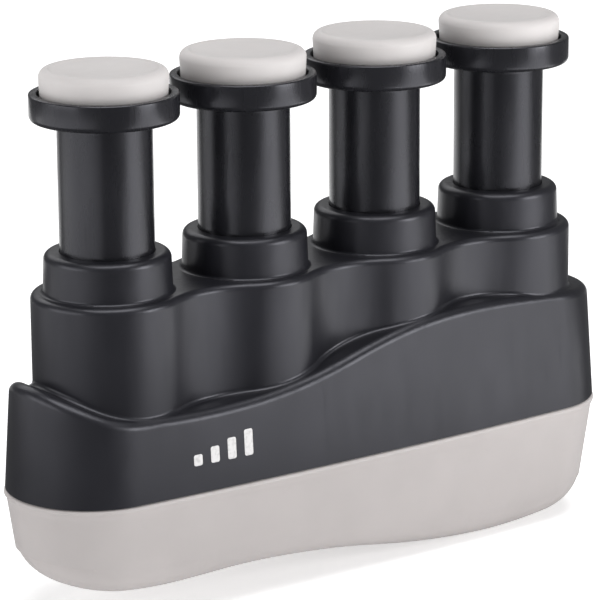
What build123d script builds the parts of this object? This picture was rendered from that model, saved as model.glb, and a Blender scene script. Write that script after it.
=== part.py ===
"""Finger exerciser: four sprung finger plungers in one housing over a soft palm base.

Millimetres. X runs along the row of fingers, plunger 1 at the -X end. -Y is the
front, +Z is up along the plungers. The origin is under the middle of the base.
"""
import os
from math import atan2, cos, hypot, radians, sin

from build123d import *

os.makedirs("parts", exist_ok=True)

# ---- driving dimensions -------------------------------------------------------
finger_pitch = 19.0
plunger_count = 4
row_start = -finger_pitch * (plunger_count - 1) / 2
row_x = [row_start + finger_pitch * index for index in range(plunger_count)]

# plan outline at the seam: two long flat arcs closed by two round ends
half_length = 41.2
end_radius = 10.2
side_radius = 734.0
end_centre = half_length - end_radius
side_centre = (side_radius - end_radius) ** 2 - end_centre**2
side_centre = side_centre**0.5
half_width = side_radius - side_centre

# heights
seam_z = 15.2
shoulder_z = 37.7
sleeve_top_z = 42.4
flange_bottom_z = 57.5
cup_rim_z = 60.6
pad_top_z = 63.4
travel = 12.5

# housing
skirt_draft = 3.8
skirt_wall = 2.0
lobe_radius = 8.87
valley_radius = 10.6
valley_y = ((lobe_radius + valley_radius) ** 2 - (finger_pitch / 2) ** 2) ** 0.5
lobe_round = 0.8
foot_round = 0.5
sleeve_radius_foot = 7.42
sleeve_radius_top = 7.25
bore_radius = 5.5
chamber_radius = 7.1
ceiling_z = 36.1
tube_radius = 8.5
key_width = 1.6
key_reach = 6.2
boss_radius = 2.4
boss_x = [-finger_pitch, 0.0, finger_pitch]

# spring plate and its screws
plate_bottom_z = 18.8
plate_top_z = 20.8
plate_inset = 2.5
post_radius = 2.6
post_height = 3.0
screw_radius = 1.1
screw_length = 8.0
screw_head_radius = 2.0
screw_head_height = 1.2

# plunger
stem_radius = 5.42
tube_bore = 4.1
stem_bottom_z = plate_top_z + travel + 0.05
groove_radius = 4.92
ring_bottom_z = 34.2
ring_top_z = 36.0
ring_radius = 6.7
flange_radius = 8.5
recess_radius = 7.55
cup_floor_z = 58.4
cup_floor_bottom_z = 56.8
nub_radius = 2.5

# finger pad
pad_radius = 7.33
pad_foot_radius = 7.12
pad_edge_round = 1.0
dish_radius = 6.2
dish_depth = 0.45

# spring
wire_radius = 0.4
coil_radius = 3.4
coil_count = 12

# palm base
base_draft = 8.0
grip_thickness = 2.0
core_wall = 1.6
grip_corner = 4.5
core_corner = 2.5
rim_top_z = 18.4
rim_thickness = 1.4
hook_x = [-20.0, 20.0]
hook_width = 6.0
hook_z = 16.8
hook_reach = 0.6
pocket_y = 8.5
rim_gap = 0.4
rest_tilt = 3.934
rest_height = 1.515

# the step round the lobes falls to a low saddle on the left and rises to the right
step_line = [
    (-42.5, 29.9),
    (-39.0, 28.2),
    (-36.0, 26.4),
    (-33.0, 25.1),
    (-28.5, 24.6),
    (-21.0, 24.5),
    (-13.0, 25.0),
    (-5.0, 26.45),
    (2.0, 28.4),
    (9.0, 29.85),
    (16.0, 30.4),
    (24.0, 30.25),
    (33.0, 29.55),
    (42.5, 28.75),
]
# underside of the base: shallow bulge, waist, then the deeper heel of the palm
belly_line = [
    (-42.5, 6.0),
    (-35.0, 4.2),
    (-26.5, 3.28),
    (-16.0, 3.56),
    (-7.0, 3.25),
    (1.0, 2.4),
    (8.0, 1.27),
    (15.0, 0.42),
    (23.0, 0.0),
    (33.0, 0.7),
    (42.5, 2.3),
]


def plan_outline(inset):
    """Closed plan line of the body, moved inwards by an inset."""
    lean = atan2(end_centre, side_centre)
    end_r = end_radius - inset
    side_y = half_width - inset
    join_x = end_centre + end_r * sin(lean)
    join_y = end_r * cos(lean)
    tip_x = half_length - inset
    ThreePointArc((-join_x, -join_y), (0, -side_y), (join_x, -join_y))
    ThreePointArc((join_x, -join_y), (tip_x, 0), (join_x, join_y))
    ThreePointArc((join_x, join_y), (0, side_y), (-join_x, join_y))
    ThreePointArc((-join_x, join_y), (-tip_x, 0), (-join_x, -join_y))


def drafted_block(inset, z_from, z_to, draft):
    """Solid plan outline between two heights, narrowing away from z_from."""
    with BuildPart() as block:
        with BuildSketch(Plane.XY.offset(z_from)):
            with BuildLine():
                plan_outline(inset)
            make_face()
        height = z_to - z_from
        direction = (0, 0, 1) if height > 0 else (0, 0, -1)
        extrude(amount=abs(height), dir=direction, taper=draft)
    return block.part


def wave_block(points, lift, z_far):
    """Block filling everything between a wavy line and a far level, right across Y."""
    with BuildPart() as block:
        with BuildSketch(Plane.XZ.offset(-16)):
            with BuildLine():
                wave = Spline(*[(x, z + lift) for x, z in points])
                Polyline(wave @ 1, (points[-1][0], z_far), (points[0][0], z_far), wave @ 0)
            make_face()
        extrude(amount=32)
    return block.part


def palm_solid(inset, corner):
    """Solid of the palm base under the seam, with its rounded lower edge."""
    with BuildPart() as body:
        add(drafted_block(inset, seam_z - 0.05, -2.0, base_draft))
        add(wave_block(belly_line, inset, -8.0), mode=Mode.SUBTRACT)
        floor_faces = body.faces().filter_by(lambda f: f.normal_at().Z < -0.9)
        fillet(floor_faces.edges(), radius=corner)
    return body.part


def off_lobe_line(point):
    """Distance in plan from a point to the outline of the merged lobes."""
    to_lobe = min(abs(hypot(point.X - x, point.Y) - lobe_radius) for x in row_x)
    to_valley = min(abs(hypot(point.X - x, abs(point.Y) - valley_y) - valley_radius) for x in boss_x)
    return min(to_lobe, to_valley)


def on_lobe_foot(edge):
    """True for an edge that runs round a lobe where it stands on the step."""
    start, middle, end = edge @ 0, edge @ 0.5, edge @ 1
    level = hypot(end.X - start.X, end.Y - start.Y) > 0.001 or edge.length > 20
    follows = max(off_lobe_line(point) for point in (start, middle, end)) < 0.02
    return follows and level and seam_z + 7 < middle.Z < shoulder_z - 2


# ---- upper housing: skirt, four lobes and four guide sleeves in one moulding ------
with BuildPart() as skirt_cavity:
    add(drafted_block(skirt_wall, seam_z - 1.0, 32.0, skirt_draft))
    add(wave_block(step_line, -skirt_wall, 40.0), mode=Mode.SUBTRACT)
    # the spring chambers and screw bosses stand in the cavity down to the plate
    with BuildSketch(Plane.XY.offset(plate_top_z)):
        with Locations([(x, 0) for x in row_x]):
            Circle(tube_radius)
        with Locations([(x, 0) for x in boss_x]):
            Circle(boss_radius)
    extrude(amount=20, mode=Mode.SUBTRACT)

with BuildPart() as upper_housing:
    # skirt with its wavy step, edge rolled over
    add(drafted_block(0, seam_z, 33.0, skirt_draft))
    add(wave_block(step_line, 0, 45.0), mode=Mode.SUBTRACT)
    top_face = upper_housing.faces().sort_by(Axis.Z)[-1]
    fillet(top_face.edges(), radius=1.1)
    # lobes joined by webs with gently hollowed sides
    with BuildSketch(Plane.XY.offset(seam_z + 6)):
        with Locations([(x, 0) for x in row_x]):
            Circle(lobe_radius)
        touch = valley_radius / (lobe_radius + valley_radius)
        web_x = finger_pitch / 2 * touch
        web_y = valley_y * (1 - touch)
        with Locations([(x, 0) for x in boss_x]):
            Rectangle(2 * web_x, 2 * web_y)
        with Locations([(x, side * valley_y) for x in boss_x for side in (-1, 1)]):
            Circle(valley_radius, mode=Mode.SUBTRACT)
    extrude(amount=shoulder_z - seam_z - 6)
    # small hollow round where the lobes meet the step
    lobe_feet = upper_housing.edges().filter_by(on_lobe_foot)
    fillet(lobe_feet, radius=foot_round)
    shoulder = upper_housing.faces().filter_by(Axis.Z).sort_by(Axis.Z)[-1]
    fillet(shoulder.edges(), radius=lobe_round)
    # sleeves
    for x in row_x:
        centre = Plane(origin=(x, 0, 0), x_dir=(1, 0, 0), z_dir=(0, -1, 0))
        with BuildSketch(centre):
            with BuildLine():
                Polyline(
                    (0, shoulder_z - 1),
                    (sleeve_radius_foot, shoulder_z - 1),
                    (sleeve_radius_foot, shoulder_z),
                    (sleeve_radius_top, sleeve_top_z),
                    (0, sleeve_top_z),
                    close=True,
                )
            make_face()
        revolve(axis=Axis((x, 0, 0), (0, 0, 1)))
    sleeve_tops = upper_housing.faces().filter_by(Axis.Z).group_by(Axis.Z)[-1]
    fillet(sleeve_tops.edges(), radius=0.9)
    sleeve_feet = upper_housing.edges().filter_by(GeomType.CIRCLE)
    sleeve_feet = sleeve_feet.filter_by(lambda e: abs(e.radius - sleeve_radius_foot) < 0.01)
    sleeve_feet = sleeve_feet.filter_by(lambda e: abs(e.center().Z - shoulder_z) < 0.01)
    fillet(sleeve_feet, radius=0.4)
    # hollow inside
    add(skirt_cavity.part, mode=Mode.SUBTRACT)
    for x in row_x:
        with BuildSketch(Plane.XY.offset(plate_top_z)):
            with Locations((x, 0)):
                Circle(chamber_radius)
            with Locations((x, -8.2), (x, 8.2)):
                Rectangle(key_width, 4.0, mode=Mode.SUBTRACT)
        extrude(amount=ceiling_z - plate_top_z, mode=Mode.SUBTRACT)
    with BuildSketch(Plane.XY.offset(ceiling_z - 1)):
        with Locations([(x, 0) for x in row_x]):
            Circle(bore_radius)
    extrude(amount=10, mode=Mode.SUBTRACT)
    # pilot holes for the plate screws
    with BuildSketch(Plane.XY.offset(plate_top_z)):
        with Locations([(x, 0) for x in boss_x]):
            Circle(screw_radius + 0.05)
    extrude(amount=screw_length, mode=Mode.SUBTRACT)
    # pockets in the skirt wall that the base hooks catch in
    with BuildSketch(Plane.XY.offset(hook_z - 0.2)):
        with Locations([(x, side * pocket_y) for x in hook_x for side in (-1, 1)]):
            Rectangle(hook_width + 0.6, 1.2)
    extrude(amount=1.4, mode=Mode.SUBTRACT)
upper_housing.part.label = "upper_housing"
export_step(upper_housing.part, "parts/upper_housing.step")

# ---- plungers, finger pads, retaining rings and springs, one set per finger -------
for number, x in enumerate(row_x, start=1):
    centre = Plane(origin=(x, 0, 0), x_dir=(1, 0, 0), z_dir=(0, -1, 0))
    axis = Axis((x, 0, 0), (0, 0, 1))

    # hollow stem under a shallow cup; the ring groove stops at a small lug
    with BuildPart() as plunger:
        with BuildSketch(centre):
            with BuildLine():
                Polyline(
                    (tube_bore, stem_bottom_z),
                    (stem_radius - 0.4, stem_bottom_z),
                    (stem_radius, stem_bottom_z + 0.4),
                    (stem_radius, flange_bottom_z - 0.5),
                    (stem_radius + 0.5, flange_bottom_z),
                    (flange_radius - 0.7, flange_bottom_z),
                    (flange_radius, flange_bottom_z + 0.7),
                    (flange_radius, cup_rim_z - 0.2),
                    (flange_radius - 0.2, cup_rim_z),
                    (recess_radius, cup_rim_z),
                    (recess_radius, cup_floor_z),
                    (nub_radius + 0.05, cup_floor_z),
                    (nub_radius + 0.05, cup_floor_bottom_z),
                    (tube_bore, cup_floor_bottom_z),
                    close=True,
                )
            make_face()
        revolve(axis=axis)
        with BuildSketch(Plane.XY.offset(ring_bottom_z - 0.05)):
            with Locations((x, 0)):
                Circle(stem_radius + 1)
                Circle(groove_radius, mode=Mode.SUBTRACT)
                with Locations((stem_radius, 0)):
                    Rectangle(2.4, 2.4, mode=Mode.SUBTRACT)
        extrude(amount=ring_top_z - ring_bottom_z + 0.1, mode=Mode.SUBTRACT)
    plunger.part.label = f"plunger_{number}"
    export_step(plunger.part, f"parts/plunger_{number}.step")

    # soft pad with a dished top and a nub that locates it in the cup floor
    with BuildPart() as pad:
        with BuildSketch(centre):
            with BuildLine():
                Polyline(
                    (0, pad_top_z - dish_depth),
                    (0, cup_floor_bottom_z + 0.2),
                    (nub_radius, cup_floor_bottom_z + 0.2),
                    (nub_radius, cup_floor_z + 0.02),
                    (pad_foot_radius, cup_floor_z + 0.02),
                    (pad_radius, pad_top_z - pad_edge_round),
                )
                edge_x = pad_radius - pad_edge_round
                edge_z = pad_top_z - pad_edge_round
                low = radians(40)
                mid = (edge_x + pad_edge_round * cos(low), edge_z + pad_edge_round * sin(low))
                ThreePointArc((pad_radius, edge_z), mid, (edge_x + 0.05, pad_top_z))
                Line((edge_x + 0.05, pad_top_z), (dish_radius, pad_top_z - 0.02))
                # the dish is a shallow spherical cap, level at the middle
                TangentArc((0, pad_top_z - dish_depth), (dish_radius, pad_top_z - 0.02), tangent=(1, 0))
            make_face()
        revolve(axis=axis)
    pad.part.label = f"finger_pad_{number}"
    export_step(pad.part, f"parts/finger_pad_{number}.step")

    # open ring snapped in the stem groove: it stops the stem under the chamber roof
    with BuildPart() as ring:
        with BuildSketch(Plane.XY.offset(ring_bottom_z)):
            with Locations((x, 0)):
                Circle(ring_radius)
                Circle(groove_radius + 0.05, mode=Mode.SUBTRACT)
                with Locations((ring_radius - 0.9, 0)):
                    Rectangle(3.0, 2.8, mode=Mode.SUBTRACT)
                with Locations((0, -ring_radius), (0, ring_radius)):
                    Rectangle(key_width + 0.6, 1.6, mode=Mode.SUBTRACT)
        extrude(amount=ring_top_z - ring_bottom_z)
        chamfer(ring.faces().sort_by(Axis.Z)[-1].outer_wire().edges(), length=0.25)
    ring.part.label = f"retaining_ring_{number}"
    export_step(ring.part, f"parts/retaining_ring_{number}.step")

    # coil spring from the plate to the underside of the cup, ends ground flat
    spring_bottom = plate_top_z + 0.02
    spring_top = cup_floor_bottom_z - 0.02
    pitch = (spring_top - spring_bottom) / coil_count
    with BuildPart() as spring:
        with BuildLine():
            length = spring_top - spring_bottom
            coil = Helix(pitch=pitch, height=length, radius=coil_radius, center=(x, 0, spring_bottom))
        with BuildSketch(Plane(origin=coil @ 0, z_dir=coil % 0)):
            Circle(wire_radius)
        sweep(path=coil, is_frenet=True)
        split(bisect_by=Plane.XY.offset(spring_bottom), keep=Keep.TOP)
        split(bisect_by=Plane.XY.offset(spring_top), keep=Keep.BOTTOM)
    spring.part.label = f"spring_{number}"
    export_step(spring.part, f"parts/spring_{number}.step")

# ---- spring plate: closes the chambers and carries a locating post for each spring -
with BuildPart() as spring_plate:
    with BuildSketch(Plane.XY.offset(plate_bottom_z)):
        with BuildLine():
            plan_outline(plate_inset)
        make_face()
        with Locations([(x, 0) for x in boss_x]):
            Circle(screw_radius + 0.2, mode=Mode.SUBTRACT)
    extrude(amount=plate_top_z - 0.02 - plate_bottom_z)
    with BuildSketch(Plane.XY.offset(plate_top_z - 0.1)):
        with Locations([(x, 0) for x in row_x]):
            Circle(post_radius)
    extrude(amount=post_height + 0.1)
    post_tops = spring_plate.faces().filter_by(Axis.Z).group_by(Axis.Z)[-1]
    chamfer(post_tops.edges(), length=0.5)
    # each post is cored from underneath
    with BuildSketch(Plane.XY.offset(plate_bottom_z)):
        with Locations([(x, 0) for x in row_x]):
            Circle(1.4)
    extrude(amount=3.2, mode=Mode.SUBTRACT)
spring_plate.part.label = "spring_plate"
export_step(spring_plate.part, "parts/spring_plate.step")

# ---- three pan-head screws that hold the plate up to the bosses ---------------------
with BuildPart() as plate_screws:
    for x in boss_x:
        with BuildSketch(Plane.XY.offset(plate_bottom_z - 0.02)):
            with Locations((x, 0)):
                Circle(screw_head_radius)
        extrude(amount=-screw_head_height)
        with BuildSketch(Plane.XY.offset(plate_bottom_z - 0.1)):
            with Locations((x, 0)):
                Circle(screw_radius)
        extrude(amount=screw_length)
        with BuildSketch(Plane.XY.offset(plate_bottom_z - screw_head_height - 0.1)):
            with Locations((x, 0)):
                Rectangle(2.2, 0.5)
                Rectangle(0.5, 2.2)
        extrude(amount=0.8, mode=Mode.SUBTRACT)
    heads = plate_screws.faces().filter_by(Axis.Z).group_by(Axis.Z)[0]
    chamfer(heads.edges().filter_by(GeomType.CIRCLE), length=0.3)
plate_screws.part.label = "plate_screws"
export_step(plate_screws.part, "parts/plate_screws.step")

# ---- palm core: hard tray inside the base, with a rim that hooks into the skirt ------
with BuildPart() as palm_core:
    add(palm_solid(grip_thickness + 0.02, core_corner))
    add(palm_solid(grip_thickness + core_wall, core_corner - 1.2), mode=Mode.SUBTRACT)
    # rim standing up inside the housing skirt
    with BuildSketch(Plane.XY.offset(seam_z - 1.2)):
        with BuildLine():
            plan_outline(skirt_wall + rim_gap)
        make_face()
        with BuildLine():
            plan_outline(skirt_wall + rim_gap + rim_thickness)
        make_face(mode=Mode.SUBTRACT)
    extrude(amount=rim_top_z - seam_z + 1.2)
    rim_tops = palm_core.faces().filter_by(Axis.Z).sort_by(Axis.Z)[-1]
    chamfer(rim_tops.outer_wire().edges(), length=0.4)
    # ribs under the spring posts, carried down to the tray floor
    for x in row_x:
        with BuildSketch(Plane.XY.offset(plate_bottom_z - 0.1)):
            with Locations((x, 0)):
                Rectangle(1.4, 2 * (half_width - skirt_wall) - 2.4)
        extrude(until=Until.NEXT, target=palm_core.part, dir=(0, 0, -1))
    # hooks on the outside of the rim
    rim_y = half_width - hook_x[1] ** 2 / (2 * side_radius) - skirt_wall - rim_gap
    for side in (-1, 1):
        for x in hook_x:
            with BuildSketch(Plane(origin=(x, 0, 0), x_dir=(0, side, 0), z_dir=(side, 0, 0))):
                with BuildLine():
                    Polyline(
                        (rim_y - 0.3, hook_z),
                        (rim_y + hook_reach, hook_z),
                        (rim_y - 0.3, hook_z + 1.0),
                        close=True,
                    )
                make_face()
            extrude(amount=hook_width / 2, both=True)
palm_core.part.label = "palm_core"
export_step(palm_core.part, "parts/palm_core.step")

# ---- palm grip: soft skin over the core, two small flats where it stands -------------
with BuildPart() as palm_grip:
    add(palm_solid(0, grip_corner))
    add(palm_solid(grip_thickness, core_corner), mode=Mode.SUBTRACT)
    rest_plane = Plane.XY.offset(rest_height).rotated((0, rest_tilt, 0))
    split(bisect_by=rest_plane, keep=Keep.TOP)
palm_grip.part.label = "palm_grip"
export_step(palm_grip.part, "parts/palm_grip.step")
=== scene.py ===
import math

import bmesh
import bpy
import numpy as np
from bpy.props import FloatProperty, FloatVectorProperty, IntProperty, PointerProperty
from mathutils import Matrix, Vector


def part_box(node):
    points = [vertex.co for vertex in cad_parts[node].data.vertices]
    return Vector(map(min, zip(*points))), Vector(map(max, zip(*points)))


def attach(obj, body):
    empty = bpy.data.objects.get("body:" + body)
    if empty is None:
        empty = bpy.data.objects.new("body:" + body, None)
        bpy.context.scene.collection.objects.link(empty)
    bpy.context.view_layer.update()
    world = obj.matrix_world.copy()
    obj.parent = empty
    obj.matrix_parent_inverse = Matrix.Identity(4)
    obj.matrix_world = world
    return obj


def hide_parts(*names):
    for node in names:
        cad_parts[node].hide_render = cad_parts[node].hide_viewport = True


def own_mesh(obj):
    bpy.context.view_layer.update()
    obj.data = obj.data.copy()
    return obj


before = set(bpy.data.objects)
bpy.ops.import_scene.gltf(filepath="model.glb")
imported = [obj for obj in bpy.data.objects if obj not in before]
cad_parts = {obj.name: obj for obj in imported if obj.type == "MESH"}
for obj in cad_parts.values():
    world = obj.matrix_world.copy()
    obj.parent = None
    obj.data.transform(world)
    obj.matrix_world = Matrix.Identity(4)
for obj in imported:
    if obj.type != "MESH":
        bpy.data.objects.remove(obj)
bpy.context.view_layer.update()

bl_info = {
    "name": "Finger Exerciser",
    "version": (1, 0, 0),
    "blender": (4, 5, 0),
    "location": "View3D > Sidebar > Exerciser",
    "description": "Dresses the four-plunger finger exerciser and lights it",
    "category": "Object",
}

FINGERS = (1, 2, 3, 4)
MM = 0.001
COOL = (0.91, 0.91, 1.0)  # tint of the gloss on the black mouldings


def middle(node):
    """Centre of a CAD node's box."""
    low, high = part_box(node)
    return (Vector(low) + Vector(high)) / 2


PLUNGER_X = [middle(f"plunger_{n}").x for n in FINGERS]
STEM_BOTTOM, CUP_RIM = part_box("plunger_1")[0][2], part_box("plunger_1")[1][2]
PAD_BOTTOM, PAD_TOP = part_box("finger_pad_1")[0][2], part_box("finger_pad_1")[1][2]
SPRING_BOTTOM, SPRING_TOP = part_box("spring_1")[0][2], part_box("spring_1")[1][2]
GRIP_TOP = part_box("palm_grip")[1][2]
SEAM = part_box("upper_housing")[0][2]


# ---- sizes and colours a user would change ------------------------------------


class PlungerShape(bpy.types.PropertyGroup):
    """Stem and cup of a plunger."""

    stem_radius: FloatProperty(
        name="Stem radius", description="Outside radius of the stem", default=5.42 * MM, unit="LENGTH"
    )
    bore_radius: FloatProperty(
        name="Stem bore", description="Inside radius of the hollow stem", default=4.1 * MM, unit="LENGTH"
    )
    flange_radius: FloatProperty(
        name="Cup radius", description="Outside radius of the cup", default=8.5 * MM, unit="LENGTH"
    )
    recess_radius: FloatProperty(
        name="Recess radius",
        description="Radius of the recess that holds the pad",
        default=7.55 * MM,
        unit="LENGTH",
    )
    cup_height: FloatProperty(
        name="Cup height", description="Height of the cup's outer wall", default=3.1 * MM, unit="LENGTH"
    )
    recess_depth: FloatProperty(
        name="Recess depth",
        description="Depth of the pad recess under the rim",
        default=2.2 * MM,
        unit="LENGTH",
    )
    segments: IntProperty(
        name="Segments", description="Facets round the plunger", default=160, min=24, max=512
    )


class PadShape(bpy.types.PropertyGroup):
    """Soft finger pad."""

    radius: FloatProperty(
        name="Pad radius", description="Widest radius, near the top", default=7.33 * MM, unit="LENGTH"
    )
    foot_radius: FloatProperty(
        name="Foot radius",
        description="Radius where the pad meets the cup floor",
        default=7.12 * MM,
        unit="LENGTH",
    )
    edge_round: FloatProperty(
        name="Edge round", description="Radius of the rolled top edge", default=1.0 * MM, unit="LENGTH"
    )
    dish_radius: FloatProperty(
        name="Dish radius",
        description="Radius of the dished part of the top",
        default=6.2 * MM,
        unit="LENGTH",
    )
    dish_depth: FloatProperty(
        name="Dish depth", description="Depth of the dish at its middle", default=0.45 * MM, unit="LENGTH"
    )
    nub_radius: FloatProperty(
        name="Nub radius",
        description="Radius of the locating nub underneath",
        default=2.5 * MM,
        unit="LENGTH",
    )


class SpringShape(bpy.types.PropertyGroup):
    """Coil spring inside a stem."""

    wire_radius: FloatProperty(
        name="Wire radius", description="Radius of the wire", default=0.4 * MM, unit="LENGTH"
    )
    coil_radius: FloatProperty(
        name="Coil radius", description="Radius to the middle of the wire", default=3.4 * MM, unit="LENGTH"
    )
    coils: IntProperty(name="Coils", description="Turns from end to end", default=13, min=4, max=30)
    travel: FloatProperty(
        name="Travel", description="How far a press shortens the spring", default=12.5 * MM, unit="LENGTH"
    )


class GripShape(bpy.types.PropertyGroup):
    """Soft skin of the palm base."""

    half_length: FloatProperty(
        name="Half length", description="Half the length at the seam", default=41.2 * MM, unit="LENGTH"
    )
    end_radius: FloatProperty(
        name="End radius", description="Plan radius of the round ends", default=10.2 * MM, unit="LENGTH"
    )
    side_radius: FloatProperty(
        name="Side radius",
        description="Plan radius of the long, slightly bulged sides",
        default=734 * MM,
        unit="LENGTH",
    )
    draft: FloatProperty(
        name="Draft",
        description="Lean of the walls",
        default=math.radians(8.0),
        unit="ROTATION",
        subtype="ANGLE",
    )
    corner_radius: FloatProperty(
        name="Corner radius", description="Radius of the lower edge", default=4.5 * MM, unit="LENGTH"
    )
    thickness: FloatProperty(
        name="Thickness", description="Thickness of the skin", default=2.0 * MM, unit="LENGTH"
    )
    lip_radius: FloatProperty(
        name="Lip radius",
        description="Rounding of the skin's top edge at the seam",
        default=0.55 * MM,
        unit="LENGTH",
    )
    lip_proud: FloatProperty(
        name="Lip stand-out",
        description="How far the top edge stands proud of the housing",
        default=0.14 * MM,
        unit="LENGTH",
    )
    rest_height: FloatProperty(
        name="Rest height",
        description="Height of the resting plane over the origin",
        default=1.515 * MM,
        unit="LENGTH",
    )
    rest_tilt: FloatProperty(
        name="Rest tilt",
        description="Lean of the plane the two bulges stand on",
        default=math.radians(3.934),
        unit="ROTATION",
        subtype="ANGLE",
    )


class MarkShape(bpy.types.PropertyGroup):
    """Plain printed bars on the front, one for each finger."""

    left: FloatProperty(name="Left end", description="X of the first bar", default=-23.4 * MM, unit="LENGTH")
    pitch: FloatProperty(name="Pitch", description="Distance between bars", default=2.3 * MM, unit="LENGTH")
    bottom: FloatProperty(
        name="Bottom", description="Height of the bars' foot", default=18.4 * MM, unit="LENGTH"
    )
    shortest: FloatProperty(
        name="Shortest", description="Height of the first bar", default=1.3 * MM, unit="LENGTH"
    )
    growth: FloatProperty(
        name="Growth", description="How much taller each next bar is", default=0.6 * MM, unit="LENGTH"
    )
    width: FloatProperty(name="Width", description="Width of a bar", default=1.15 * MM, unit="LENGTH")
    film: FloatProperty(
        name="Ink film", description="How far the ink stands proud", default=0.02 * MM, unit="LENGTH"
    )
    wall_draft: FloatProperty(
        name="Wall draft",
        description="Lean of the skirt wall that it is printed on",
        default=math.radians(3.8),
        unit="ROTATION",
        subtype="ANGLE",
    )


def colour_property(name, description, default):
    """A linear colour with sliders from 0 to 1."""
    return FloatVectorProperty(
        name=name, description=description, default=default, size=3, subtype="COLOR", min=0, max=1
    )


class Finishes(bpy.types.PropertyGroup):
    """Base colours of the finishes, linear."""

    housing: colour_property("Housing", "Satin black moulding", (0.0115, 0.0115, 0.0145))
    plunger: colour_property("Plunger", "Satin black stem and cup", (0.0095, 0.0095, 0.0115))
    pad: colour_property("Pad", "Light grey elastomer of the finger pads", (0.50, 0.477, 0.472))
    grip: colour_property("Grip", "Light grey elastomer of the palm skin", (0.415, 0.386, 0.380))
    ink: colour_property("Ink", "Pale ink of the printed bars", (0.62, 0.61, 0.61))
    wire: colour_property("Wire", "Bright spring wire", (0.56, 0.56, 0.57))
    ring: colour_property("Ring", "Natural nylon", (0.62, 0.60, 0.54))
    plate: colour_property("Plate", "Dark glass-filled nylon", (0.08, 0.08, 0.085))
    core: colour_property("Core", "Grey tray inside the grip", (0.20, 0.195, 0.195))
    screw: colour_property("Screw", "Zinc-plated steel", (0.60, 0.60, 0.62))


class StageSettings(bpy.types.PropertyGroup):
    """Camera and studio."""

    azimuth: FloatProperty(
        name="Azimuth",
        description="Camera turn about Z",
        default=math.radians(-35.961),
        unit="ROTATION",
        subtype="ANGLE",
    )
    elevation: FloatProperty(
        name="Elevation",
        description="Camera height",
        default=math.radians(14.951),
        unit="ROTATION",
        subtype="ANGLE",
    )
    roll: FloatProperty(
        name="Roll", description="Camera lean", default=math.radians(-0.349), unit="ROTATION", subtype="ANGLE"
    )
    distance: FloatProperty(
        name="Distance", description="Camera to target", default=390.458 * MM, unit="LENGTH", precision=4
    )
    target: FloatVectorProperty(
        name="Target",
        description="Point the camera looks at",
        default=(-1.596 * MM, 0.0, 32.16 * MM),
        size=3,
        subtype="TRANSLATION",
    )
    lens: FloatProperty(name="Lens", description="Focal length on a 36 mm sensor", default=197.485, min=10)
    floor_size: FloatProperty(
        name="Floor size", description="Radius of the floor", default=3.0, unit="LENGTH"
    )
    ambient: FloatProperty(name="Ambient", description="Light from all round", default=0.14, min=0)


GROUPS = {
    "exerciser_plunger": PlungerShape,
    "exerciser_pad": PadShape,
    "exerciser_spring": SpringShape,
    "exerciser_grip": GripShape,
    "exerciser_mark": MarkShape,
    "exerciser_finishes": Finishes,
    "exerciser_stage": StageSettings,
}


# ---- surfaces -------------------------------------------------------------------


def sheet_mesh(name, points, close_rows=False, close_columns=True):
    """Mesh of a grid of points (rows, columns, 3): each cell joins four neighbours, and points that meet
    are welded."""
    rows, columns, _ = points.shape
    index = np.arange(rows * columns).reshape(rows, columns)
    if close_rows:
        index = np.vstack([index, index[:1]])
    if close_columns:
        index = np.hstack([index, index[:, :1]])
    faces = np.stack([index[:-1, :-1], index[:-1, 1:], index[1:, 1:], index[1:, :-1]], axis=-1).reshape(-1, 4)
    mesh = bpy.data.meshes.new(name)
    mesh.from_pydata(points.reshape(-1, 3).tolist(), [], faces.tolist())
    shell = bmesh.new()
    shell.from_mesh(mesh)
    bmesh.ops.remove_doubles(shell, verts=shell.verts, dist=1e-7)
    bmesh.ops.recalc_face_normals(shell, faces=shell.faces)
    shell.to_mesh(mesh)
    shell.free()
    mesh.update()
    return mesh


def finished(name, mesh, body, material, sharp=math.radians(40), nodes=()):
    """Links a mesh as a piece, shades it smooth up to a crease angle and joins it to its body."""
    piece = bpy.data.objects.new(name, mesh)
    bpy.context.scene.collection.objects.link(piece)
    mesh.shade_smooth()
    mesh.set_sharp_from_angle(angle=sharp)
    mesh.materials.clear()
    mesh.materials.append(material)
    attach(piece, body)
    if nodes:
        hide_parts(*nodes)
    return piece


def turned(name, profile, x, segments):
    """Profile (radius, height) turned about the vertical line at x: a point lies at the radius times the
    cosine and sine of its angle."""
    profile = np.asarray(profile, float)
    angle = np.linspace(0, 2 * np.pi, segments, endpoint=False)
    points = np.empty((len(profile), segments, 3))
    points[..., 0] = x + profile[:, :1] * np.cos(angle)
    points[..., 1] = profile[:, :1] * np.sin(angle)
    points[..., 2] = profile[:, 1:]
    return sheet_mesh(name, points)


def corner(centre_r, centre_z, radius, start, end, steps=7):
    """Arc of a profile: centre plus radius times (cos, sin) between two angles in degrees."""
    angle = np.radians(np.linspace(start, end, steps))
    return np.stack([centre_r + radius * np.cos(angle), centre_z + radius * np.sin(angle)], axis=1)


def joined(*parts):
    """Profile made of stretches laid end to end."""
    return np.vstack([np.atleast_2d(np.asarray(part, float)) for part in parts])


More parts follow.
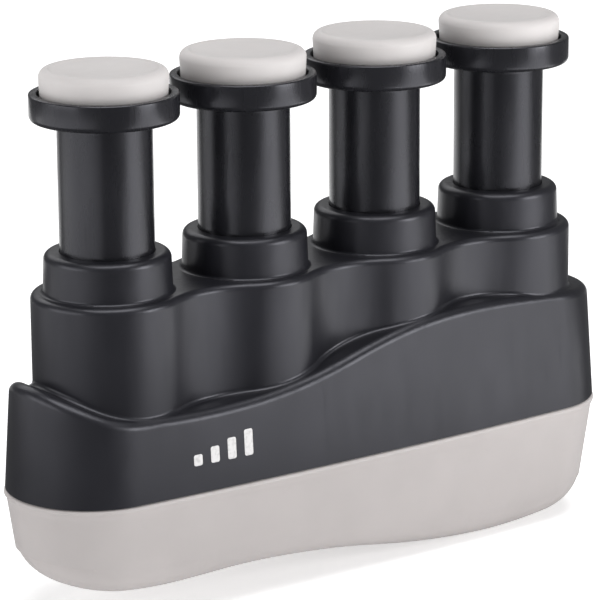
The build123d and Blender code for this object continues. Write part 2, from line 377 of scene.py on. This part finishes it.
def smooth_line(knots, x):
    """Natural cubic through the knots: the curvatures solve the usual tridiagonal system, and each span is
    a cubic."""
    kx, kz = np.array(knots, float).T
    gap = np.diff(kx)
    system = np.zeros((len(kx), len(kx)))
    right = np.zeros(len(kx))
    system[0, 0] = system[-1, -1] = 1
    inner = np.arange(1, len(kx) - 1)
    system[inner, inner - 1] = gap[:-1]
    system[inner, inner] = 2 * (gap[:-1] + gap[1:])
    system[inner, inner + 1] = gap[1:]
    right[inner] = 6 * (np.diff(kz)[1:] / gap[1:] - np.diff(kz)[:-1] / gap[:-1])
    bend = np.linalg.solve(system, right)
    span = np.clip(np.searchsorted(kx, x) - 1, 0, len(gap) - 1)
    a, b, h = kx[span + 1] - x, x - kx[span], gap[span]
    cubic = (bend[span] * a**3 + bend[span + 1] * b**3) / (6 * h)
    return cubic + (kz[span] / h - bend[span] * h / 6) * a + (kz[span + 1] / h - bend[span + 1] * h / 6) * b


def plan_loop(shape, count=720):
    """Plan outline walked at even angle: two long side arcs joined by round ends. Gives points, outward
    normals and the foot of each normal on the middle line."""
    end_x = shape.half_length - shape.end_radius
    side_y = math.sqrt((shape.side_radius - shape.end_radius) ** 2 - end_x**2)
    lean = math.atan2(end_x, side_y)
    side_count, end_count = count // 3, count // 6
    side = np.linspace(-lean, lean, side_count, endpoint=False)
    tip = np.linspace(lean, np.pi - lean, end_count, endpoint=False)
    front_n = np.stack([np.sin(side), -np.cos(side)], axis=1)
    right_n = np.stack([np.sin(tip), -np.cos(tip)], axis=1)
    front = np.array([0, side_y]) + shape.side_radius * front_n
    right = np.array([end_x, 0]) + shape.end_radius * right_n
    points = np.vstack([front, right, -front, -right])
    normals = np.vstack([front_n, right_n, -front_n, -right_n])
    spine = np.stack([np.clip(points[:, 0], -end_x, end_x), np.zeros(len(points))], axis=1)
    return points, normals, spine


BELLY = [
    (-42.5, 6.0), (-35.0, 4.2), (-26.5, 3.28), (-16.0, 3.56), (-7.0, 3.25), (1.0, 2.4),
    (8.0, 1.27), (15.0, 0.42), (23.0, 0.0), (33.0, 0.7), (42.5, 2.3),
]


def grip_rings(shape, inset, radius, lip, top):
    """Rings of the grip's wall, rounded lower edge and belly. A wall point moves in by its depth times the
    draft's tangent, the edge is an arc tangent to wall and belly, and the belly height is the smooth line
    over x."""
    outline, normal, spine = plan_loop(shape)
    tangent, cosine = math.tan(shape.draft), math.cos(shape.draft)
    knots = np.array(BELLY) * MM

    def placed(move, height):
        xy = outline - normal * move[:, None]
        return np.column_stack([xy, height])

    def belly(x):
        return smooth_line(knots, x) + inset

    # where the arc's centre sits: it depends on the belly height under it, so it is found in four passes
    move = np.full(len(outline), inset + radius)
    for _ in range(4):
        floor = belly((outline - normal * move[:, None])[:, 0])
        centre_z = floor + radius
        move = centre_in = inset + (top - centre_z) * tangent + radius / cosine
    rings = []
    if lip > 0:
        # the top edge is a quarter round that stands slightly proud of the wall
        for angle in np.radians(np.linspace(90, 0, 9)):
            move = inset - shape.lip_proud + lip * (1 - math.cos(angle))
            height = top - lip * (1 - math.sin(angle))
            rings.append(placed(np.full(len(outline), move), np.full(len(outline), height)))
    else:
        rings.append(placed(np.full(len(outline), inset), np.full(len(outline), top)))
    for share in np.linspace(0.07, 1, 11):
        wall_foot = centre_z - radius * math.sin(shape.draft)
        height = top - lip - (top - lip - wall_foot) * share
        rings.append(placed(inset + (top - height) * tangent, height))
    for angle in np.linspace(shape.draft, math.pi / 2, 14)[1:]:
        edge_in = centre_in - radius * math.cos(angle)
        under = belly((outline - normal * edge_in[:, None])[:, 0])
        rings.append(placed(edge_in, under + radius * (1 - math.sin(angle))))
    for share in (0.25, 0.5, 0.75, 1.0):
        xy = (outline - normal * centre_in[:, None]) * (1 - share) + spine * share
        rings.append(np.column_stack([xy, belly(xy[:, 0])]))
    return rings


# ---- finishes -------------------------------------------------------------------


class Finish:
    """Builds one procedural finish on object coordinates."""

    def __init__(self, name, colour, metallic=0.0, specular=0.5):
        self.material = bpy.data.materials.new(name)
        self.material.use_nodes = True
        self.tree = self.material.node_tree
        self.shader = self.tree.nodes["Principled BSDF"]
        self.shader.inputs["Metallic"].default_value = metallic
        self.shader.inputs["Specular IOR Level"].default_value = specular
        self.shader.inputs["Base Color"].default_value = (*colour, 1)
        self.colour = colour
        self.coords = self.tree.nodes.new("ShaderNodeTexCoord").outputs["Object"]
        self.heights = []

    def noise(self, scale, detail=3.0, stretch=(1, 1, 1), rough=0.55):
        """Noise of a given number of cells per metre, stretched along an axis if asked."""
        mapping = self.tree.nodes.new("ShaderNodeMapping")
        mapping.inputs["Scale"].default_value = stretch
        self.tree.links.new(self.coords, mapping.inputs["Vector"])
        noise = self.tree.nodes.new("ShaderNodeTexNoise")
        noise.inputs["Scale"].default_value = scale
        noise.inputs["Detail"].default_value = detail
        noise.inputs["Roughness"].default_value = rough
        self.tree.links.new(mapping.outputs["Vector"], noise.inputs["Vector"])
        return noise.outputs["Fac"]

    def ranged(self, value, low, high, to_low, to_high):
        """Value moved from one range to another, held at the ends."""
        node = self.tree.nodes.new("ShaderNodeMapRange")
        node.clamp = True
        self.tree.links.new(value, node.inputs["Value"])
        for socket, number in zip(("From Min", "From Max", "To Min", "To Max"), (low, high, to_low, to_high)):
            node.inputs[socket].default_value = number
        return node.outputs["Result"]

    def product(self, a, b):
        """Two values multiplied."""
        node = self.tree.nodes.new("ShaderNodeMath")
        node.operation = "MULTIPLY"
        self.tree.links.new(a, node.inputs[0])
        self.tree.links.new(b, node.inputs[1])
        return node.outputs[0]

    def blended(self, value, first, second):
        """Mix of two colours or colour outputs by a value."""
        node = self.tree.nodes.new("ShaderNodeMix")
        node.data_type = "RGBA"
        self.tree.links.new(value, node.inputs[0])
        for slot, item in ((6, first), (7, second)):
            if isinstance(item, tuple):
                node.inputs[slot].default_value = (*item, 1)
            else:
                self.tree.links.new(item, node.inputs[slot])
        return node.outputs[2]

    def tint(self, factor):
        """The base colour times a factor."""
        return tuple(min(1.0, c * factor) for c in self.colour)

    def colour_from(self, output):
        self.tree.links.new(output, self.shader.inputs["Base Color"])

    def roughness_from(self, output):
        self.tree.links.new(output, self.shader.inputs["Roughness"])

    def relief(self, value, depth):
        """Adds a layer of bump of that depth in metres."""
        bump = self.tree.nodes.new("ShaderNodeBump")
        bump.inputs["Strength"].default_value = 1.0
        bump.inputs["Distance"].default_value = depth
        self.tree.links.new(value, bump.inputs["Height"])
        if self.heights:
            self.tree.links.new(self.heights[-1], bump.inputs["Normal"])
        self.heights.append(bump.outputs["Normal"])
        self.tree.links.new(bump.outputs["Normal"], self.shader.inputs["Normal"])


def satin_moulding(name, colour, smooth, dull, grain, scuff=0.25, specular=0.5, sky=(1, 1, 1)):
    """Satin moulded plastic: slow colour drift, spark-eroded grain, flow marks, faint dulled scuffs and a
    tinted gloss."""
    finish = Finish(name, colour, specular=specular)
    finish.shader.inputs["Specular Tint"].default_value = (*sky, 1)
    drift = finish.noise(90, 2)
    cloud = finish.ranged(drift, 0.35, 0.65, 0, 1)
    speck = finish.ranged(finish.noise(5200, 2), 0.62, 0.8, 0, 1)
    base = finish.blended(cloud, finish.tint(0.86), finish.tint(1.16))
    finish.colour_from(finish.blended(speck, base, finish.tint(1.5)))
    flow = finish.ranged(finish.noise(420, 4, stretch=(1, 1, 0.25)), 0.3, 0.7, smooth, dull)
    rubbed = finish.ranged(finish.noise(900, 5, stretch=(1, 1, 0.12)), 0.60, 0.74, 1.0, 1.0 + scuff)
    finish.roughness_from(finish.product(flow, rubbed))
    finish.relief(finish.noise(9000, 3), grain)
    finish.relief(finish.noise(260, 2), grain * 6)
    return finish.material


def soft_elastomer(name, colour, roughness, grain, sheen=0.12):
    """Soft light elastomer: fine matt tooth, slight handling marks that darken it, and a touch of sheen."""
    finish = Finish(name, colour, specular=0.35)
    finish.shader.inputs["Sheen Weight"].default_value = sheen
    finish.shader.inputs["Sheen Roughness"].default_value = 0.45
    finish.shader.inputs["Subsurface Weight"].default_value = 0.04
    finish.shader.inputs["Subsurface Radius"].default_value = (0.0012, 0.0009, 0.0008)
    cloud = finish.ranged(finish.noise(70, 3), 0.35, 0.65, 0, 1)
    base = finish.blended(cloud, finish.tint(0.965), finish.tint(1.03))
    marks = finish.ranged(finish.noise(520, 5), 0.60, 0.85, 0, 0.35)
    worn = finish.blended(marks, base, finish.tint(0.88))
    dust = finish.ranged(finish.noise(7000, 2), 0.68, 0.82, 0, 0.30)
    finish.colour_from(finish.blended(dust, worn, finish.tint(1.12)))
    finish.roughness_from(finish.ranged(finish.noise(340, 4), 0.3, 0.7, roughness - 0.06, roughness + 0.07))
    finish.relief(finish.noise(6500, 4), grain)
    finish.relief(finish.noise(330, 2), grain * 5)
    return finish.material


def drawn_wire(name, colour):
    """Bright spring wire with fine draw lines and faint darker heat tint."""
    finish = Finish(name, colour, metallic=1.0)
    tint = finish.ranged(finish.noise(650, 3), 0.35, 0.7, 0, 1)
    finish.colour_from(finish.blended(tint, finish.colour, finish.tint(0.72)))
    finish.roughness_from(finish.ranged(finish.noise(2600, 4, stretch=(1, 1, 5)), 0.3, 0.7, 0.20, 0.36))
    finish.relief(finish.noise(12000, 3, stretch=(1, 1, 6)), 1.5e-6)
    return finish.material


def plated_steel(name, colour):
    """Zinc plating: soft crystalline mottling and small rubbed patches."""
    finish = Finish(name, colour, metallic=1.0)
    mottle = finish.ranged(finish.noise(1900, 4), 0.35, 0.65, 0, 1)
    finish.colour_from(finish.blended(mottle, finish.tint(0.85), finish.tint(1.08)))
    finish.roughness_from(finish.ranged(finish.noise(1300, 5), 0.3, 0.7, 0.26, 0.46))
    finish.relief(finish.noise(7000, 4), 2e-6)
    return finish.material


def screen_ink(name, colour):
    """Pale printed ink: slightly uneven cover with a fine screen texture."""
    finish = Finish(name, colour, specular=0.4)
    cover = finish.ranged(finish.noise(2400, 4), 0.30, 0.52, 0, 1)
    finish.colour_from(finish.blended(cover, finish.tint(0.78), finish.colour))
    finish.roughness_from(finish.ranged(finish.noise(1500, 3), 0.3, 0.7, 0.42, 0.58))
    finish.relief(finish.noise(14000, 2), 2e-6)
    return finish.material


# ---- pieces ---------------------------------------------------------------------


def faired_copy(name, node, body, material, sharp=math.radians(28)):
    """A CAD node's mesh with its loose triangles merged, smooth over tangent faces and crisp at its edges."""
    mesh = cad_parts[node].data.copy()
    mesh.name = name
    shell = bmesh.new()
    shell.from_mesh(mesh)
    bmesh.ops.remove_doubles(shell, verts=shell.verts, dist=2e-7)
    shell.to_mesh(mesh)
    shell.free()
    if "custom_normal" in mesh.attributes:
        mesh.attributes.remove(mesh.attributes["custom_normal"])
    piece = finished(name, mesh, body, material, sharp, (node,))
    weighted = piece.modifiers.new("Even shading", "WEIGHTED_NORMAL")
    weighted.keep_sharp = True
    weighted.weight = 60
    return piece


class EXERCISER_OT_housing(bpy.types.Operator):
    """Finish the black upper housing: skirt, lobes and guide sleeves"""

    bl_idname = "exerciser.housing"
    bl_label = "Housing"

    def execute(self, context):
        colour = tuple(context.scene.exerciser_finishes.housing)
        black = satin_moulding("Housing satin black", colour, 0.30, 0.40, 1.6e-6, sky=COOL)
        faired_copy("housing_moulding", "upper_housing", "housing", black)
        return {"FINISHED"}


class EXERCISER_OT_plungers(bpy.types.Operator):
    """Turn the four plungers: hollow stem, ring groove and shallow cup"""

    bl_idname = "exerciser.plungers"
    bl_label = "Plungers"

    def execute(self, context):
        s = context.scene.exerciser_plunger
        colour = tuple(context.scene.exerciser_finishes.plunger)
        name = "Plunger satin black"
        black = satin_moulding(name, colour, 0.22, 0.32, 1.0e-6, scuff=0.5, specular=0.55, sky=COOL)
        flange_z = CUP_RIM - s.cup_height
        floor_z = CUP_RIM - s.recess_depth
        under_z = floor_z - 1.6 * MM
        nub_r = context.scene.exerciser_pad.nub_radius + 0.05 * MM
        groove_r, groove_low, groove_high = 4.92 * MM, 34.15 * MM, 36.05 * MM
        fillet, lip, inner_lip = 0.5 * MM, 0.22 * MM, 0.12 * MM
        foot_round, cup_foot_round = 0.35 * MM, 0.65 * MM
        profile = joined(
            [(s.bore_radius, STEM_BOTTOM)],
            corner(s.stem_radius - foot_round, STEM_BOTTOM + foot_round, foot_round, -90, 0, 4),
            [(s.stem_radius, groove_low), (groove_r, groove_low)],
            [(groove_r, groove_high), (s.stem_radius, groove_high)],
            [(s.stem_radius, z) for z in np.linspace(groove_high + 1 * MM, flange_z - fillet - 0.3 * MM, 12)],
            corner(s.stem_radius + fillet, flange_z - fillet, fillet, 180, 90, 6),
            corner(s.flange_radius - cup_foot_round, flange_z + cup_foot_round, cup_foot_round, -90, 0, 7),
            [(s.flange_radius, flange_z + 1.4 * MM)],
            corner(s.flange_radius - lip, CUP_RIM - lip, lip, 0, 90, 5),
            corner(s.recess_radius + inner_lip, CUP_RIM - inner_lip, inner_lip, 90, 180, 4),
            [(s.recess_radius, floor_z), (nub_r, floor_z), (nub_r, under_z), (s.bore_radius, under_z)],
            [(s.bore_radius, STEM_BOTTOM)],
        )
        for n, x in zip(FINGERS, PLUNGER_X):
            mesh = turned(f"stem_and_cup_{n}", profile, x, s.segments)
            nodes = (f"plunger_{n}",)
            finished(mesh.name, mesh, f"plunger_body_{n}", black, math.radians(35), nodes)
        return {"FINISHED"}


class EXERCISER_OT_finger_pads(bpy.types.Operator):
    """Turn the four soft finger pads with their dished tops"""

    bl_idname = "exerciser.finger_pads"
    bl_label = "Finger Pads"

    def execute(self, context):
        s = context.scene.exerciser_pad
        plunger = context.scene.exerciser_plunger
        colour = tuple(context.scene.exerciser_finishes.pad)
        grey = soft_elastomer("Pad light grey elastomer", colour, 0.52, 4e-6)
        floor_z = CUP_RIM - plunger.recess_depth + 0.02 * MM
        edge_r, edge_z = s.radius - s.edge_round, PAD_TOP - s.edge_round
        crease_round, foot_round, nub_bevel = 0.13 * MM, 0.15 * MM, 0.2 * MM
        across = np.linspace(0, 1, 14)[:-1]
        dish_rim = PAD_TOP - 0.02 * MM
        dish_z = dish_rim - s.dish_depth * (1 - across**2) ** 1.15
        dish = np.stack([s.dish_radius * across, dish_z], axis=1)
        crease = corner(s.dish_radius + 0.08 * MM, PAD_TOP - crease_round, crease_round, 140, 90, 4)
        side = np.linspace(0, 1, 7)[1:]
        wall_r = s.radius + (s.foot_radius - s.radius) * side
        wall = np.stack([wall_r, edge_z + (floor_z + foot_round - edge_z) * side], axis=1)
        profile = joined(
            dish,
            crease,
            corner(edge_r, edge_z, s.edge_round, 84, 2, 12),
            wall,
            corner(s.foot_radius - foot_round, floor_z + foot_round, foot_round, 0, -90, 4),
            [(s.nub_radius, floor_z), (s.nub_radius, PAD_BOTTOM + nub_bevel)],
            [(s.nub_radius - nub_bevel, PAD_BOTTOM), (0, PAD_BOTTOM)],
        )
        for n, x in zip(FINGERS, PLUNGER_X):
            mesh = turned(f"soft_pad_{n}", profile, x, 144)
            nodes = (f"finger_pad_{n}",)
            pad = finished(mesh.name, mesh, f"plunger_body_{n}", grey, math.radians(50), nodes)
        return {"FINISHED"}


class EXERCISER_OT_springs(bpy.types.Operator):
    """Wind the four coil springs"""

    bl_idname = "exerciser.springs"
    bl_label = "Springs"

    def execute(self, context):
        s = context.scene.exerciser_spring
        bright = drawn_wire("Bright spring wire", tuple(context.scene.exerciser_finishes.wire))
        length = SPRING_TOP - SPRING_BOTTOM
        turn = np.linspace(0, s.coils, s.coils * 28 + 1)
        # closed end turns, open between: the pitch eases in over one turn at each end
        ease = np.clip(np.minimum(turn, s.coils - turn) - 0.9, 0, 1)
        ease = ease * ease * (3 - 2 * ease)
        rise = np.concatenate([[0], np.cumsum((ease[1:] + ease[:-1]) / 2 * np.diff(turn))])
        closed_turns = np.minimum(turn, 1.0) + np.maximum(turn - s.coils + 1, 0)
        dead = 2 * s.wire_radius * closed_turns
        open_length = length - 2 * s.wire_radius * 0.5 - dead[-1]
        height = SPRING_BOTTOM + s.wire_radius * 0.5 + dead + open_length * rise / rise[-1]
        around = np.linspace(0, 2 * np.pi, 14, endpoint=False)
        angle = 2 * np.pi * turn
        reach = s.coil_radius + s.wire_radius * np.cos(around)
        for n, x in zip(FINGERS, PLUNGER_X):
            points = np.empty((len(turn), len(around), 3))
            points[..., 0] = x + np.cos(angle)[:, None] * reach
            points[..., 1] = np.sin(angle)[:, None] * reach
            wire_z = height[:, None] + s.wire_radius * np.sin(around)
            points[..., 2] = np.clip(wire_z, SPRING_BOTTOM, SPRING_TOP)
            ends = points[[0, -1]].mean(axis=1, keepdims=True).repeat(len(around), axis=1)
            points = np.concatenate([ends[:1], points, ends[1:]])
            mesh = sheet_mesh(f"coil_{n}", points)
            nodes = (f"spring_{n}",)
            coil = finished(mesh.name, mesh, "housing", bright, math.radians(50), nodes)
            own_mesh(coil)
        return {"FINISHED"}


class EXERCISER_OT_inner_parts(bpy.types.Operator):
    """Finish the hidden rings, spring plate, screws and tray"""

    bl_idname = "exerciser.inner_parts"
    bl_label = "Inner Parts"

    def execute(self, context):
        c = context.scene.exerciser_finishes
        nylon = satin_moulding("Natural nylon", tuple(c.ring), 0.36, 0.48, 1.5e-6)
        filled = satin_moulding("Glass-filled nylon", tuple(c.plate), 0.42, 0.60, 4e-6)
        tray = satin_moulding("Tray grey", tuple(c.core), 0.38, 0.52, 2.5e-6)
        zinc = plated_steel("Zinc-plated steel", tuple(c.screw))
        for n in FINGERS:
            faired_copy(f"stop_ring_{n}", f"retaining_ring_{n}", f"plunger_body_{n}", nylon)
        faired_copy("seat_plate", "spring_plate", "housing", filled)
        faired_copy("seat_screws", "plate_screws", "housing", zinc)
        faired_copy("inner_tray", "palm_core", "housing", tray)
        return {"FINISHED"}


class EXERCISER_OT_palm_grip(bpy.types.Operator):
    """Loft the soft palm skin, outside and inside, closed at its rim"""

    bl_idname = "exerciser.palm_grip"
    bl_label = "Palm Grip"

    def execute(self, context):
        s = context.scene.exerciser_grip
        colour = tuple(context.scene.exerciser_finishes.grip)
        grey = soft_elastomer("Grip light grey elastomer", colour, 0.46, 5e-6)
        outer = grip_rings(s, 0.0, s.corner_radius, s.lip_radius, GRIP_TOP)
        inner = grip_rings(s, s.thickness, 2.5 * MM, 0.0, GRIP_TOP)
        points = np.array(inner[::-1] + outer)
        # the two bulges are worn flat where they stand
        stand = s.rest_height - np.tan(s.rest_tilt) * points[..., 0]
        outside = np.arange(len(points)) >= len(inner)
        points[..., 2] = np.where(outside[:, None], np.maximum(points[..., 2], stand), points[..., 2])
        mesh = sheet_mesh("palm_skin", points)
        skin = finished("palm_skin", mesh, "housing", grey, math.radians(50), ("palm_grip",))
        return {"FINISHED"}


class EXERCISER_OT_printed_mark(bpy.types.Operator):
    """Print four plain rising bars on the front of the skirt, one for each finger"""

    bl_idname = "exerciser.printed_mark"
    bl_label = "Printed Bars"

    def execute(self, context):
        s = context.scene.exerciser_mark
        g = context.scene.exerciser_grip
        ink = screen_ink("Pale ink", tuple(context.scene.exerciser_finishes.ink))
        end_x = g.half_length - g.end_radius
        side_y = math.sqrt((g.side_radius - g.end_radius) ** 2 - end_x**2)
        # a pill outline: half-circles on a straight length, shrunk to its middle line for the inner rings
        angle = np.linspace(0, 2 * np.pi, 64, endpoint=False)
        radius = 0.22 * s.width
        for number in range(len(FINGERS)):
            height = s.shortest + s.growth * number
            half_w, half_h = s.width / 2 - radius, height / 2 - radius
            rim = np.stack([np.sign(np.cos(angle)) * half_w, np.sign(np.sin(angle)) * half_h], axis=1)
            rim = rim + radius * np.stack([np.cos(angle), np.sin(angle)], axis=1)
            steps = [(1.0, -0.04 * MM), (1.0, s.film * 0.6), (0.97, s.film), (0.5, s.film), (0.0, s.film)]
            rings = []
            for share, proud in steps:
                x = s.left + s.pitch * number + rim[:, 0] * share
                z = s.bottom + height / 2 + rim[:, 1] * share
                inset = (z - SEAM) * math.tan(s.wall_draft)
                y = side_y - np.sqrt((g.side_radius - inset) ** 2 - x**2) - proud
                rings.append(np.column_stack([x, y, z]))
            back = np.broadcast_to(rings[0].mean(axis=0), rings[0].shape)
            mesh = sheet_mesh(f"printed_bar_{number + 1}", np.array([back] + rings))
            finished(mesh.name, mesh, "housing", ink, math.radians(60))
        return {"FINISHED"}


# soft lamps: name, azimuth and elevation in degrees, distance, width and height in metres, watts, and
# whether the lamp lies on the floor
LAMPS = (
    ("right_box", 33, 14, 0.55, 0.28, 0.26, 1.65, False),
    ("right_card", 34, 0, 0.26, 0.17, 0.38, 0.46, True),
    ("left_box", -100, 15, 0.60, 0.60, 0.30, 1.4, False),
    ("left_card", -100, 0, 0.28, 0.40, 0.30, 0.50, True),
    ("top_box", -20, 80, 0.60, 0.50, 0.40, 3.1, False),
    ("rear_box", 165, 38, 0.70, 0.60, 0.40, 1.0, False),
    ("rear_card", 150, 0, 0.30, 0.30, 0.34, 0.40, True),
)


class EXERCISER_OT_stage(bpy.types.Operator):
    """Lay the pale floor, hang the soft lights and set the camera"""

    bl_idname = "exerciser.stage"
    bl_label = "Stage"

    def execute(self, context):
        s = context.scene.exerciser_stage
        scene = context.scene
        target = Vector(s.target)
        # floor: a pale disc, rings of growing radius
        reach = np.array([0.0, 0.05, 0.15, 0.4, 1.0]) * s.floor_size
        turn = np.linspace(0, 2 * np.pi, 96, endpoint=False)
        disc = np.zeros((len(reach), len(turn), 3))
        disc[..., 0] = reach[:, None] * np.cos(turn)
        disc[..., 1] = reach[:, None] * np.sin(turn)
        mesh = sheet_mesh("studio_floor", disc)
        floor = bpy.data.objects.new("studio_floor", mesh)
        scene.collection.objects.link(floor)
        pale = Finish("Pale floor", (0.90, 0.90, 0.90), specular=0.1)
        cloud = pale.ranged(pale.noise(3, 2), 0.4, 0.6, 0, 1)
        pale.colour_from(pale.blended(cloud, (0.90, 0.90, 0.90), (0.93, 0.93, 0.93)))
        pale.shader.inputs["Roughness"].default_value = 0.9
        pale.shader.inputs["Emission Color"].default_value = (1, 1, 1, 1)
        # the floor glows a little more the farther it lies from the lamps, so it stays even to its edge
        span = pale.tree.nodes.new("ShaderNodeVectorMath")
        span.operation = "LENGTH"
        pale.tree.links.new(pale.coords, span.inputs[0])
        glow = pale.ranged(span.outputs["Value"], 0.25, 1.1, 0.42, 0.95)
        pale.tree.links.new(glow, pale.shader.inputs["Emission Strength"])
        mesh.materials.append(pale.material)
        floor.visible_glossy = False

        world = bpy.data.worlds.new("Studio")
        scene.world = world
        world.use_nodes = True
        tree = world.node_tree
        tree.nodes.clear()
        out = tree.nodes.new("ShaderNodeOutputWorld")
        seen = tree.nodes.new("ShaderNodeBackground")
        fill = tree.nodes.new("ShaderNodeBackground")
        pick = tree.nodes.new("ShaderNodeMixShader")
        path = tree.nodes.new("ShaderNodeLightPath")
        seen.inputs["Color"].default_value = (1, 1, 1, 1)
        fill.inputs["Color"].default_value = (0.98, 0.99, 1.0, 1)
        fill.inputs["Strength"].default_value = s.ambient
        tree.links.new(path.outputs["Is Camera Ray"], pick.inputs["Fac"])
        tree.links.new(fill.outputs[0], pick.inputs[1])
        tree.links.new(seen.outputs[0], pick.inputs[2])
        tree.links.new(pick.outputs[0], out.inputs["Surface"])

        def soft_box(name, azimuth, elevation, away, width, height, power, lying):
            """Area light at an angle and distance round the object: it faces the object, or lies on the floor
            and faces up."""
            data = bpy.data.lights.new(name, "AREA")
            data.shape = "RECTANGLE"
            data.size, data.size_y = width, height
            data.energy = power
            lamp = bpy.data.objects.new(name, data)
            lamp.visible_camera = False
            a, e = math.radians(azimuth), math.radians(elevation)
            back = Vector((math.sin(a) * math.cos(e), -math.cos(a) * math.cos(e), math.sin(e)))
            if lying:
                lamp.location = back * away + Vector((0, 0, 0.002))
                lamp.rotation_euler = (math.pi, 0, a)
            else:
                lamp.location = Vector((0, 0, 0.03)) + back * away
                lamp.rotation_euler = back.to_track_quat("Z", "Y").to_euler()
            scene.collection.objects.link(lamp)

        for lamp_row in LAMPS:
            soft_box(*lamp_row)

        camera = bpy.data.objects.new("camera", bpy.data.cameras.new("camera"))
        camera.data.lens = s.lens
        camera.data.sensor_width = 36
        camera.data.clip_start, camera.data.clip_end = 0.02, 50
        flat = Vector((math.sin(s.azimuth), -math.cos(s.azimuth), 0))
        back = flat * math.cos(s.elevation) + Vector((0, 0, math.sin(s.elevation)))
        right = Vector((math.cos(s.azimuth), math.sin(s.azimuth), 0))
        up = back.cross(right)
        c, d = math.cos(s.roll), math.sin(s.roll)
        right, up = right * c + up * d, up * c - right * d
        turn = Matrix((right, up, back)).transposed().to_4x4()
        camera.matrix_world = Matrix.Translation(target + back * s.distance) @ turn
        scene.collection.objects.link(camera)
        scene.camera = camera
        scene.view_settings.view_transform = "Standard"
        return {"FINISHED"}


class EXERCISER_PT_panel(bpy.types.Panel):
    """Sidebar panel that lists the exerciser's pieces"""

    bl_idname = "EXERCISER_PT_panel"
    bl_label = "Finger Exerciser"
    bl_space_type = "VIEW_3D"
    bl_region_type = "UI"
    bl_category = "Exerciser"

    def draw(self, context):
        for operator in OPERATORS:
            self.layout.operator(operator.bl_idname)
        for name, group in GROUPS.items():
            box = self.layout.box()
            box.label(text=group.__doc__)
            for key in group.__annotations__:
                box.prop(getattr(context.scene, name), key)


OPERATORS = (
    EXERCISER_OT_housing,
    EXERCISER_OT_plungers,
    EXERCISER_OT_finger_pads,
    EXERCISER_OT_springs,
    EXERCISER_OT_inner_parts,
    EXERCISER_OT_palm_grip,
    EXERCISER_OT_printed_mark,
    EXERCISER_OT_stage,
)


def register():
    for cls in (*GROUPS.values(), *OPERATORS, EXERCISER_PT_panel):
        bpy.utils.register_class(cls)
    for name, group in GROUPS.items():
        setattr(bpy.types.Scene, name, PointerProperty(type=group))


def unregister():
    for name in GROUPS:
        delattr(bpy.types.Scene, name)
    for cls in reversed((*GROUPS.values(), *OPERATORS, EXERCISER_PT_panel)):
        bpy.utils.unregister_class(cls)


def main():
    """Registers the classes and makes each piece in turn."""
    register()
    bpy.ops.exerciser.housing()
    bpy.ops.exerciser.plungers()
    bpy.ops.exerciser.finger_pads()
    bpy.ops.exerciser.springs()
    bpy.ops.exerciser.inner_parts()
    bpy.ops.exerciser.palm_grip()
    bpy.ops.exerciser.printed_mark()
    bpy.ops.exerciser.stage()


if __name__ == "__main__":
    main()
